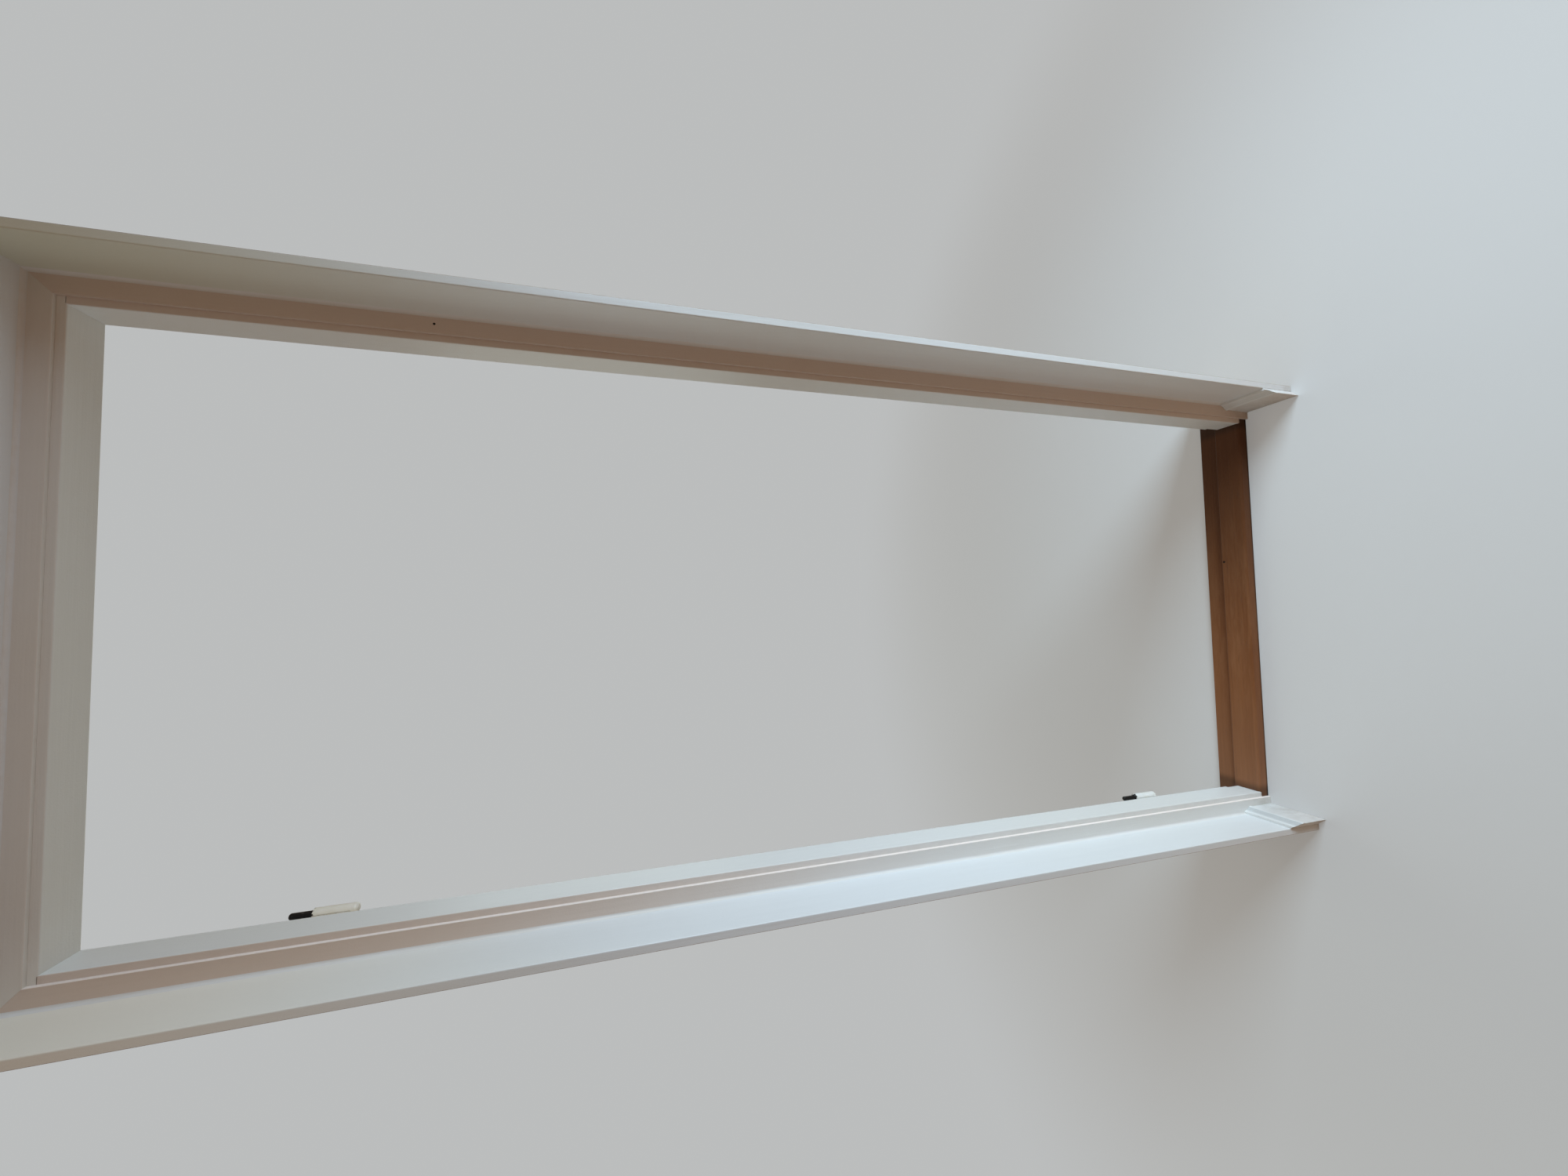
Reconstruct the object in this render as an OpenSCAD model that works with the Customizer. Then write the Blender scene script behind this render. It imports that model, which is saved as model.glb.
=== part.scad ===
// Interior door frame for a deep wall: two rebated jambs and a head on a wooden threshold, with the
// boards that line the reveal, cover strips, skirting returns, far-side architraves, a strike plate
// and the frame's halves of two lift-off hinges. The leaf is off, so the hinge pins stand bare.
// X runs across the passage, Y from the reveal's side to the leaf's side, Z up from the floor.

/* [Frame] */
// Clear width between the stops of the two jambs
passage_w = 810; // [600:5:1000]
// Clear height from the floor to the stop of the head
passage_h = 2000; // [1850:5:2300]
// Depth of the frame, through the wall
frame_d = 92; // [84:1:120]
// Depth of the stop, the thick front part of the section
stop_d = 50; // [44:0.5:54]
// Thickness of the jambs and the head at the stop
frame_t = 50; // [46:0.5:60]
// How far the seat of the leaf is cut back from the stop in the jambs
rebate = 20; // [12:0.5:22]
// How far it is cut back in the head
head_rebate = 32; // [12:0.5:34]
// Depth of the housings that take the ends of the head
housing_d = 12; // [6:0.5:15]
// Radius on the long edges of the frame
frame_arris = 1.5; // [0.5:0.25:2.5]
// Height of the small bevel cut on the stop above each foot
foot_bevel_h = 30; // [10:1:60]
// Width of that bevel on the face of the passage, along Y
foot_bevel_d = 6; // [2:0.5:10]

/* [Threshold] */
// Height of the front part of the threshold
threshold_h = 24; // [18:0.5:35]
// Height of the lower part behind, under the leaf
threshold_rear_h = 10; // [5:0.5:14]
// Radius of its front edge
threshold_nose_r = 5; // [2:0.5:8]

/* [Reveal] */
// Depth of the reveal, from the frame to the corner of the wall
reveal_d = 87; // [50:1:200]
// Thickness of the boards that line it
board_t = 12; // [9:0.5:18]
// Width of the cover strips between the frame and the boards
strip_w = 27.5; // [22:0.5:31]
// Thickness of the cover strips
strip_t = 4.5; // [4:0.5:10]
// How much of the frame shows beside the cover strips
strip_margin = 10; // [6:0.5:11]
// Radius on the passage edge of the cover strips
strip_round = 1; // [0.5:0.25:3]

/* [Skirting] */
// Height of the skirting returns
skirting_h = 80; // [60:1:120]
// Thickness of the skirting returns, at the bead
skirting_t = 14; // [9:0.5:18]
// Height of the bead under the cove
bead_d = 11; // [6:0.5:14]
// How far the bead stands proud of the face
bead_proud = 1.5; // [0.5:0.25:3]
// Height of the cove at the top
cove_r = 12; // [8:0.5:16]

/* [Architrave] */
// Width of the boards round the far side
architrave_w = 56; // [40:1:90]
// Thickness of these boards
architrave_t = 12; // [9:0.5:18]
// Radius on their long edges
architrave_round = 3; // [1:0.5:4]

/* [Hinges] */
// Height of the underside of the lower knuckle above the floor
hinge_z = 199; // [160:1:300]
// Distance from the top of the upper knuckle to the soffit of the passage
hinge_drop = 221; // [150:1:300]
// Length of each knuckle, and of its leaf
knuckle_len = 57; // [45:1:70]
// Diameter of the knuckles
knuckle_d = 15; // [13:0.5:18]
// Rounding of the closed lower end of the knuckles
knuckle_end_r = 5; // [2:0.5:6]
// Diameter of the free end of the pins
pin_d = 9; // [7:0.25:10]
// How far the pins stand out of the knuckles
pin_reach = 30; // [20:1:40]
// Width of the leaf that is let into the jamb
leaf_w = 30; // [26:0.5:34]
// Thickness of the leaf
leaf_t = 2.5; // [1.5:0.25:3.5]

/* [Strike plate] */
// Height of the centre of the strike plate above the floor
strike_z = 1000; // [950:1:1050]
// Height of the strike plate
strike_h = 170; // [150:1:190]
// Width of the strike plate
strike_w = 25; // [22:0.5:26]
// Thickness of the strike plate
strike_t = 2; // [1:0.25:3]
// Height of the hole for the latch
latch_h = 32; // [24:1:40]
// Height of the hole for the bolt
bolt_h = 36; // [24:1:40]
// Width of both holes
keep_w = 14; // [10:0.5:15]
// Depth of the mortises behind them
keep_d = 16; // [10:0.5:20]

/* [Fixings] */
// Shank diameter of the screws in the hinges and the strike plate
screw_d = 4; // [3:0.25:5]
// Head diameter of these screws
screw_head_d = 8; // [6:0.25:8.5]
// Length of these screws
screw_len = 25; // [16:1:28]
// Shank diameter of the screws in the joints of the frame
joint_screw_d = 5; // [4:0.25:6]
// Head diameter of these screws
joint_screw_head_d = 10; // [8:0.25:11]
// Length of these screws
joint_screw_len = 70; // [50:1:90]
// Shank diameter of the nails
nail_d = 1.8; // [1.2:0.1:2.5]
// Head diameter of the nails
nail_head_d = 3; // [2:0.1:4]
// Length of the nails in the strips and boards
nail_len = 25; // [20:1:30]
// Length of the nails in the skirting returns
skirting_nail_len = 20; // [15:1:22]
// How far the heads of the nails are punched in
nail_sink = 1; // [0.5:0.1:1.5]
// Distance from one nail to the next up the sides
nail_pitch = 375; // [300:5:390]
// Diameter of the holes through the jambs for fixing to the wall
wall_hole_d = 8; // [6:0.5:10]
// Distance from the floor, and from the soffit, to the nearest of these holes
wall_hole_margin = 130; // [120:1:150]

/* [Hidden] */

// Overrun of every cut past the face that it opens
over = 1;
// Facets of round edges and round pieces
edge_fn = 24;
round_fn = 48;

// Clear joint between the leaf and its seat, with the hinges' axis in its middle
leaf_joint = 3;
// Clear gap round the knuckles, at the far face of the jamb and at the architrave
knuckle_gap = 0.5;
architrave_gap = 2.5;
// Radial play of the root of a pin in its knuckle, and extra diameter of the root
pin_play = 0.05;
pin_root_extra = 1;
// Width of the seam where the knuckle's rolled strip ends
seam_w = 0.6;
// Bevel on the upper rim of a knuckle
rim_bevel = 0.75;
// Rounding of the hidden corners of a leaf, and of the tip of a pin
leaf_corner_r = 6;
pin_tip_r = 3;
// Rounding of the corners of the strike plate and of its holes
strike_corner_r = 4;
keep_corner_r = 2;
// Width and depth of the driver slots, and thickness of the nail heads
slot_w = 1;
slot_d = 1;
nail_head_t = 1;
// Width of the foot bevel, on the face of the leaf's seat
foot_bevel_w = 4;
// Height of the first nail, and the number of nails up each side and across each head
first_nail_z = 97.5;
side_nails = floor((passage_h - first_nail_z) / nail_pitch) + 1;
head_nails = 3;
// Diameter of the nail hole that stands open, and its place in the row of nails
open_hole_d = 2.4;
open_hole_index = side_nails - 2;
// Number of holes for fixing to the wall, up each jamb
wall_holes = 4;

// Half widths of the main planes, out from the middle of the passage
stop_x = passage_w / 2;
seat_x = stop_x + rebate;
outer_x = stop_x + frame_t;
strip_x = stop_x + strip_margin;
reveal_x = strip_x + strip_w;
board_x = reveal_x + board_t;
head_x = seat_x + housing_d;
hinge_x = seat_x - leaf_joint / 2;
architrave_x = hinge_x + knuckle_d / 2 + architrave_gap;

// Heights of the same planes over the head
frame_top = passage_h + frame_t;
strip_z = passage_h + strip_margin;
reveal_z = strip_z + strip_w;
seat_z = passage_h + head_rebate;
architrave_z = seat_z + architrave_x - seat_x;
upper_hinge_z = passage_h - hinge_drop - knuckle_len;

// Centre lines in depth and across
hinge_y = frame_d + knuckle_gap + knuckle_d / 2;
seat_mid_y = (stop_d + frame_d) / 2;
seat_mid_x = (seat_x + outer_x) / 2;
strip_mid_x = strip_x + strip_w / 2;
architrave_nail_x = (architrave_x + outer_x) / 2;

// Thickness of the skirting returns, at the face
skirting_face_t = skirting_t - bead_proud;

// Shares of the sizes that they follow
joint_front_share = 0.4;
leaf_screw_z_shares = [0.18, 0.5, 0.82];
leaf_screw_y_shares = [0.34, 0.68, 0.34];
keep_gap_share = 0.09;
lip_share = 1.25;
head_nail_share = 0.7;
board_nail_shares = [0.25, 0.75];
skirting_nail_shares = [0.22, 0.74];
skirting_nail_z_share = 0.35;
lip_t_share = 0.33;
cove_foot_share = 0.75;
root_share = 0.85;

// The part's origin lies on the floor, under the middle of its outer size
near_reach = reveal_d + skirting_t;
far_reach = max(frame_d + architrave_t, hinge_y + knuckle_d / 2);
mid_y = (far_reach - near_reach) / 2;

module set_in_place() {
    translate([0, -mid_y, 0]) children();
}

// Pieces are drawn for the strike side; the hinge side is their mirror image
module hinge_side() {
    mirror([1, 0, 0]) children();
}

// The sliver that rounds a square corner at the origin, whose material lies towards +X and +Y
module corner_sliver(r) {
    difference() {
        translate([-over, -over]) square([r + over, r + over]);
        translate([r, r]) circle(r = r, $fn = edge_fn);
    }
}

// Section of the jambs and the head: x out from the stop, y through the wall
module frame_section(cut) {
    difference() {
        square([frame_t, frame_d]);
        translate([-over, stop_d]) square([cut + over, frame_d - stop_d + over]);
        corner_sliver(frame_arris);
        translate([0, stop_d]) mirror([0, 1]) corner_sliver(frame_arris);
        translate([cut, frame_d]) mirror([0, 1]) corner_sliver(frame_arris);
    }
}

// Draws a section of x = Y and y = Z over a length that is centred across the passage
module across(half) {
    translate([-half, 0, 0]) rotate([90, 0, 90]) linear_extrude(2 * half) children();
}

module head_body() {
    translate([0, 0, passage_h]) across(head_x) mirror([1, -1]) frame_section(head_rebate);
}

module threshold_body() {
    across(outer_x) difference() {
        square([frame_d, threshold_h]);
        translate([stop_d, threshold_rear_h]) square([frame_d, threshold_h]);
        translate([0, threshold_h]) mirror([0, 1]) corner_sliver(threshold_nose_r);
        translate([stop_d, threshold_h]) mirror([1, 0]) mirror([0, 1]) corner_sliver(frame_arris);
    }
}

// Countersunk screw: its head is flush at the origin and its shank runs up
module countersunk(d, head_d, length) {
    cylinder(d1 = head_d, d2 = d, h = (head_d - d) / 2, $fn = round_fn);
    cylinder(d = d, h = length, $fn = round_fn);
}

module slotted(d, head_d, length) {
    difference() {
        countersunk(d, head_d, length);
        translate([-head_d, -slot_w / 2, -over]) cube([2 * head_d, slot_w, slot_d + over]);
    }
}

// Nail: the top of its head is at the origin and its shank runs up
module nail(length) {
    cylinder(d = nail_head_d, h = nail_head_t, $fn = edge_fn);
    cylinder(d = nail_d, h = length, $fn = edge_fn);
}

// Places of the screws in one leaf, whose lower end is at z
module at_leaf_screws(z) {
    for (i = [0 : len(leaf_screw_z_shares) - 1])
        translate([seat_x, frame_d - leaf_w * leaf_screw_y_shares[i],
                   z + knuckle_len * leaf_screw_z_shares[i]])
            rotate([0, 90, 0]) children();
}

module at_hinges() {
    for (z = [hinge_z, upper_hinge_z]) translate([0, 0, z]) children();
}

// The flat of a leaf, from its hidden rounded corners to the knuckle
module leaf_flat() {
    translate([seat_x, 0, 0]) rotate([90, 0, 90]) linear_extrude(leaf_t) difference() {
        translate([frame_d - leaf_w, 0]) square([leaf_w + hinge_y - frame_d, knuckle_len]);
        translate([frame_d - leaf_w, 0]) corner_sliver(leaf_corner_r);
        translate([frame_d - leaf_w, knuckle_len]) mirror([0, 1]) corner_sliver(leaf_corner_r);
    }
}

// The rolled barrel with its closed, rounded lower end and the open seam towards the jamb
module knuckle() {
    bore_r = (pin_d + pin_root_extra) / 2 + pin_play;
    translate([hinge_x, hinge_y, 0]) difference() {
        rotate_extrude($fn = round_fn) difference() {
            square([knuckle_d / 2, knuckle_len]);
            translate([knuckle_d / 2, 0]) mirror([1, 0]) corner_sliver(knuckle_end_r);
            translate([knuckle_d / 2, knuckle_len])
                polygon([[-rim_bevel, 0], [0, -rim_bevel], [over, 0], [0, over]]);
        }
        translate([0, 0, knuckle_len * (1 - root_share)])
            cylinder(r = bore_r, h = knuckle_len, $fn = round_fn);
        translate([-seam_w / 2, -knuckle_d, knuckle_len * (1 - root_share)])
            cube([seam_w, knuckle_d, knuckle_len]);
    }
}

module hinge_leaf() {
    color("gainsboro") difference() {
        union() {
            difference() {
                leaf_flat();
                translate([hinge_x, hinge_y, -over])
                    cylinder(d = knuckle_d - leaf_t, h = knuckle_len + 2 * over, $fn = round_fn);
            }
            knuckle();
        }
        at_leaf_screws(0) countersunk(screw_d, screw_head_d, screw_len);
    }
}

// The root is held in the knuckle, the thinner free end has a rounded tip
module hinge_pin() {
    root_r = (pin_d + pin_root_extra) / 2;
    root_z = knuckle_len * (1 - root_share);
    color("dimgray") translate([hinge_x, hinge_y, 0]) rotate_extrude($fn = round_fn) difference() {
        union() {
            translate([0, root_z]) square([root_r, knuckle_len - root_z]);
            translate([0, root_z]) square([pin_d / 2, knuckle_len + pin_reach - root_z]);
        }
        translate([pin_d / 2, knuckle_len + pin_reach]) mirror([1, 0]) mirror([0, 1])
            corner_sliver(pin_tip_r);
    }
}

// Both holes of the strike plate, as deep as asked; the latch is over the bolt
module keep_holes(depth) {
    gap = strike_h * keep_gap_share;
    for (side = [0, 1]) {
        h = side == 0 ? latch_h : bolt_h;
        z = side == 0 ? gap / 2 : -gap / 2 - bolt_h;
        translate([seat_x, seat_mid_y - keep_w / 2, strike_z + z])
            rotate([90, 0, 90]) translate([0, 0, -over]) linear_extrude(depth + over)
            difference() {
                square([keep_w, h]);
                for (y = [0, 1], w = [0, 1])
                    translate([w * keep_w, y * h]) mirror([w, 0]) mirror([0, y])
                        corner_sliver(keep_corner_r);
            }
    }
}

// Outline of the strike plate, with a lip from the latch to the far edge of the jamb
module strike_flat() {
    lip_h = latch_h * lip_share;
    lip_z = strike_h * keep_gap_share / 2 + (latch_h - lip_h) / 2;
    translate([seat_x, 0, strike_z]) rotate([90, 0, 90]) linear_extrude(strike_t) union() {
        difference() {
            translate([seat_mid_y - strike_w / 2, -strike_h / 2]) square([strike_w, strike_h]);
            for (y = [-1, 1], w = [-1, 1])
                translate([seat_mid_y + w * strike_w / 2, y * strike_h / 2])
                    mirror([w > 0 ? 1 : 0, 0]) mirror([0, y > 0 ? 1 : 0])
                    corner_sliver(strike_corner_r);
        }
        translate([seat_mid_y, lip_z]) square([frame_d - seat_mid_y, lip_h]);
    }
}

module at_strike_screws() {
    for (z = [-1, 1])
        translate([seat_x, seat_mid_y, strike_z + z * (strike_h / 2 - screw_head_d)])
            rotate([0, 90, 0]) children();
}

// Screws from the outer face of a jamb into the end of the head
module at_head_joint() {
    for (y = [stop_d * joint_front_share, seat_mid_y])
        translate([outer_x, y, (seat_z + frame_top) / 2]) rotate([0, -90, 0]) children();
}

// Screws from the underside of the threshold into the foot of a jamb
module at_threshold_joint() {
    for (y = [stop_d * joint_front_share, seat_mid_y])
        translate([seat_mid_x, y, 0]) children();
}

module at_side_nails(x, y, turn) {
    for (i = [0 : side_nails - 1])
        translate([x, y, first_nail_z + i * nail_pitch]) rotate([turn, 0, 0]) children();
}

module at_head_nails(z, y, turn) {
    for (i = [0 : head_nails - 1])
        translate([(2 * i / (head_nails - 1) - 1) * stop_x * head_nail_share, y, z])
            rotate([turn, 0, 0]) children();
}

// The nails of one side's cover strip; on the strike side one hole stands open, with no nail in it
module side_strip_nails(open) {
    for (i = [0 : side_nails - 1])
        if (!(open && i == open_hole_index))
            translate([strip_mid_x, nail_sink - strip_t, first_nail_z + i * nail_pitch])
                rotate([-90, 0, 0]) nail(nail_len);
}

module open_nail_hole() {
    translate([strip_mid_x, -strip_t - over, first_nail_z + open_hole_index * nail_pitch])
        rotate([-90, 0, 0]) cylinder(d = open_hole_d, h = nail_len + over, $fn = edge_fn);
}

module head_strip_nails() {
    at_head_nails(strip_z + strip_w / 2, nail_sink - strip_t, -90) nail(nail_len);
}

module side_architrave_nails() {
    at_side_nails(architrave_nail_x, frame_d + architrave_t - nail_sink, 90) nail(nail_len);
}

module head_architrave_nails() {
    at_head_nails((architrave_z + frame_top) / 2, frame_d + architrave_t - nail_sink, 90)
        nail(nail_len);
}

module side_corner_nails() {
    for (s = board_nail_shares)
        translate([reveal_x + board_t / 2, -reveal_d * s, reveal_z + board_t - nail_sink])
            mirror([0, 0, 1]) nail(nail_len);
}

module side_skirting_nails() {
    for (s = skirting_nail_shares)
        translate([reveal_x - skirting_face_t + nail_sink, -reveal_d * s - strip_t,
                   skirting_h * skirting_nail_z_share])
            rotate([0, 90, 0]) nail(skirting_nail_len);
}

module wall_fixing_holes() {
    pitch = (passage_h - 2 * wall_hole_margin) / (wall_holes - 1);
    for (i = [0 : wall_holes - 1])
        translate([seat_x - over, seat_mid_y, wall_hole_margin + i * pitch])
            rotate([0, 90, 0]) cylinder(d = wall_hole_d, h = frame_t, $fn = round_fn);
}

// What both jambs share: the section, its housing for the head, its seat on the threshold and the
// holes of its fixings
module plain_jamb() {
    difference() {
        translate([stop_x, 0, 0]) linear_extrude(frame_top) frame_section(rebate);
        head_body();
        threshold_body();
        translate([stop_x, stop_d, 0]) linear_extrude(threshold_h + foot_bevel_h)
            polygon([[0, -foot_bevel_d], [foot_bevel_w, 0], [foot_bevel_w, over],
                     [-over, over], [-over, -foot_bevel_d]]);
        at_head_joint() countersunk(joint_screw_d, joint_screw_head_d, joint_screw_len);
        at_threshold_joint() countersunk(joint_screw_d, joint_screw_head_d, joint_screw_len);
        side_architrave_nails();
        wall_fixing_holes();
    }
}

module hinge_jamb() {
    color("whitesmoke") hinge_side() difference() {
        plain_jamb();
        side_strip_nails(false);
        at_hinges() leaf_flat();
        at_hinges() at_leaf_screws(0) countersunk(screw_d, screw_head_d, screw_len);
    }
}

module strike_jamb() {
    color("whitesmoke") difference() {
        plain_jamb();
        side_strip_nails(true);
        open_nail_hole();
        strike_flat();
        keep_holes(strike_t + keep_d);
        at_strike_screws() countersunk(screw_d, screw_head_d, screw_len);
    }
}

module frame_head() {
    color("whitesmoke") difference() {
        head_body();
        head_strip_nails();
        head_architrave_nails();
        for (side = [0, 1])
            mirror([side, 0, 0]) at_head_joint()
                countersunk(joint_screw_d, joint_screw_head_d, joint_screw_len);
    }
}

module threshold() {
    color("saddlebrown") difference() {
        threshold_body();
        for (side = [0, 1])
            mirror([side, 0, 0]) at_threshold_joint()
                countersunk(joint_screw_d, joint_screw_head_d, joint_screw_len);
    }
}

// The upright of a mitred surround, kept under the mitre that starts at the inner corner
module under_mitre(x, z, w) {
    intersection() {
        children();
        translate([0, frame_d + architrave_t + over, 0]) rotate([90, 0, 0])
            linear_extrude(frame_d + architrave_t + strip_t + 2 * over)
            polygon([[x - over, 0], [x + w + over, 0], [x + w + over, z + w + over],
                     [x - over, z - over]]);
    }
}

// The head of the same surround, kept between its two mitres
module between_mitres(x, z, w) {
    intersection() {
        children();
        translate([0, frame_d + architrave_t + over, 0]) rotate([90, 0, 0])
            linear_extrude(frame_d + architrave_t + strip_t + 2 * over)
            polygon([[over - x, z - over], [x - over, z - over], [x + w + over, z + w + over],
                     [-x - w - over, z + w + over]]);
    }
}

// Section of a cover strip: x out from its passage edge, y through its thickness to the frame
module strip_section() {
    difference() {
        square([strip_w, strip_t]);
        corner_sliver(strip_round);
    }
}

module side_cover_strip() {
    under_mitre(strip_x, strip_z, strip_w)
        translate([strip_x, -strip_t, 0]) linear_extrude(reveal_z) strip_section();
}

module cover_strip_hinge_side() {
    color("seashell") hinge_side() difference() {
        side_cover_strip();
        side_strip_nails(false);
    }
}

module cover_strip_strike_side() {
    color("seashell") difference() {
        side_cover_strip();
        side_strip_nails(true);
        open_nail_hole();
    }
}

module cover_strip_head() {
    color("seashell") difference() {
        between_mitres(strip_x, strip_z, strip_w)
            translate([0, -strip_t, strip_z]) across(reveal_x) mirror([1, -1]) strip_section();
        head_strip_nails();
    }
}

module side_reveal_board() {
    difference() {
        translate([reveal_x, -reveal_d, 0]) linear_extrude(reveal_z) difference() {
            square([board_t, reveal_d]);
            corner_sliver(frame_arris);
        }
        side_corner_nails();
        side_skirting_nails();
    }
}

module reveal_board_hinge_side() {
    color("aliceblue") hinge_side() side_reveal_board();
}

module reveal_board_strike_side() {
    color("aliceblue") side_reveal_board();
}

module reveal_board_head() {
    color("aliceblue") difference() {
        translate([0, -reveal_d, reveal_z]) across(board_x) difference() {
            square([reveal_d, board_t]);
            corner_sliver(frame_arris);
        }
        for (side = [0, 1]) mirror([side, 0, 0]) side_corner_nails();
    }
}

// Moulded section of the skirting: x out from the board, y up
module skirting_section() {
    bead_r = bead_d / 2;
    lip_t = skirting_t * lip_t_share;
    bead_z = skirting_h - cove_r - bead_r;
    square([skirting_face_t, bead_z]);
    translate([skirting_t - bead_r, bead_z]) circle(r = bead_r, $fn = edge_fn);
    difference() {
        translate([0, bead_z]) square([skirting_t * cove_foot_share, skirting_h - bead_z]);
        translate([lip_t + cove_r, skirting_h]) circle(r = cove_r, $fn = round_fn);
    }
}

// Runs from the cover strip to the corner of the wall, where its end is mitred
module side_skirting_return() {
    run = near_reach - strip_t;
    difference() {
        translate([reveal_x, -strip_t, 0]) rotate([90, 0, 0]) linear_extrude(run)
            mirror([1, 0]) skirting_section();
        translate([0, 0, -over]) linear_extrude(skirting_h + 2 * over)
            polygon([[reveal_x + over, -reveal_d + over], [reveal_x + over, -near_reach - over],
                     [reveal_x - skirting_t - over, -near_reach - over]]);
        side_skirting_nails();
    }
}

module skirting_return_hinge_side() {
    color("ghostwhite") hinge_side() side_skirting_return();
}

module skirting_return_strike_side() {
    color("ghostwhite") side_skirting_return();
}

// Section of an architrave: x out from its inner edge, y from the frame to its far face
module architrave_section() {
    difference() {
        square([architrave_w, architrave_t]);
        translate([0, architrave_t]) mirror([0, 1]) corner_sliver(architrave_round);
        translate([architrave_w, architrave_t]) mirror([1, 0]) mirror([0, 1])
            corner_sliver(architrave_round);
    }
}

module side_architrave() {
    difference() {
        under_mitre(architrave_x, architrave_z, architrave_w)
            translate([architrave_x, frame_d, 0]) linear_extrude(architrave_z + architrave_w)
            architrave_section();
        side_architrave_nails();
    }
}

module architrave_hinge_side() {
    color("white") hinge_side() side_architrave();
}

module architrave_strike_side() {
    color("white") side_architrave();
}

module architrave_head() {
    color("white") difference() {
        between_mitres(architrave_x, architrave_z, architrave_w)
            translate([0, frame_d, architrave_z]) across(architrave_x + architrave_w)
            mirror([1, -1]) architrave_section();
        head_architrave_nails();
    }
}

module upper_hinge_leaf() {
    translate([0, 0, upper_hinge_z]) hinge_side() hinge_leaf();
}

module lower_hinge_leaf() {
    translate([0, 0, hinge_z]) hinge_side() hinge_leaf();
}

module upper_hinge_pin() {
    translate([0, 0, upper_hinge_z]) hinge_side() hinge_pin();
}

module lower_hinge_pin() {
    translate([0, 0, hinge_z]) hinge_side() hinge_pin();
}

module hinge_screws() {
    color("lightgray") hinge_side() at_hinges() at_leaf_screws(0)
        slotted(screw_d, screw_head_d, screw_len);
}

module strike_plate() {
    color("silver") difference() {
        strike_flat();
        keep_holes(strike_t + over);
        at_strike_screws() countersunk(screw_d, screw_head_d, screw_len);
    }
}

module strike_plate_screws() {
    color("lightgray") at_strike_screws() slotted(screw_d, screw_head_d, screw_len);
}

module head_joint_screws() {
    color("gold") for (side = [0, 1])
        mirror([side, 0, 0]) at_head_joint()
            slotted(joint_screw_d, joint_screw_head_d, joint_screw_len);
}

module threshold_screws() {
    color("gold") for (side = [0, 1])
        mirror([side, 0, 0]) at_threshold_joint()
            slotted(joint_screw_d, joint_screw_head_d, joint_screw_len);
}

module cover_strip_nails() {
    color("gray") {
        side_strip_nails(true);
        hinge_side() side_strip_nails(false);
        head_strip_nails();
    }
}

module architrave_nails() {
    color("gray") {
        for (side = [0, 1]) mirror([side, 0, 0]) side_architrave_nails();
        head_architrave_nails();
    }
}

module reveal_corner_nails() {
    color("gray") for (side = [0, 1]) mirror([side, 0, 0]) side_corner_nails();
}

module skirting_nails() {
    color("gray") for (side = [0, 1]) mirror([side, 0, 0]) side_skirting_nails();
}

set_in_place() hinge_jamb();
set_in_place() strike_jamb();
set_in_place() frame_head();
set_in_place() threshold();
set_in_place() cover_strip_hinge_side();
set_in_place() cover_strip_strike_side();
set_in_place() cover_strip_head();
set_in_place() reveal_board_hinge_side();
set_in_place() reveal_board_strike_side();
set_in_place() reveal_board_head();
set_in_place() skirting_return_hinge_side();
set_in_place() skirting_return_strike_side();
set_in_place() architrave_hinge_side();
set_in_place() architrave_strike_side();
set_in_place() architrave_head();
set_in_place() upper_hinge_leaf();
set_in_place() lower_hinge_leaf();
set_in_place() upper_hinge_pin();
set_in_place() lower_hinge_pin();
set_in_place() hinge_screws();
set_in_place() strike_plate();
set_in_place() strike_plate_screws();
set_in_place() head_joint_screws();
set_in_place() threshold_screws();
set_in_place() cover_strip_nails();
set_in_place() architrave_nails();
set_in_place() reveal_corner_nails();
set_in_place() skirting_nails();
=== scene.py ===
# Interior door frame without its leaf: aged white paint on timber that is bare where it lies in the
# wall, a varnished threshold, painted hinge halves with greasy pins, and the steel of the fixings.
import math

import bmesh
import bpy
from mathutils import Matrix, Vector


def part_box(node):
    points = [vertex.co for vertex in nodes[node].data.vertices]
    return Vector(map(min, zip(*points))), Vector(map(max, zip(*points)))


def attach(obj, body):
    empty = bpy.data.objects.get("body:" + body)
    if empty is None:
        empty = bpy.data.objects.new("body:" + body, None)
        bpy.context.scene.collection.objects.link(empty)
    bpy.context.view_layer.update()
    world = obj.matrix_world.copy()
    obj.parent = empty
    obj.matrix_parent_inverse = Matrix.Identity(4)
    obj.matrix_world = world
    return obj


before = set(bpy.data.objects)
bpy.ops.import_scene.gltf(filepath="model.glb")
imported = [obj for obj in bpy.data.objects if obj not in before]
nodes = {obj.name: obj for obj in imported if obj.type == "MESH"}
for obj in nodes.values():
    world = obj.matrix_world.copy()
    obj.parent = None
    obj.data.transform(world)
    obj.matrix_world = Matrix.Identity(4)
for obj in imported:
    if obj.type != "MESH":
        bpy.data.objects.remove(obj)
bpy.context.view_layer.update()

MM = 0.001
BEVEL_SAMPLES = 4


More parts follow.
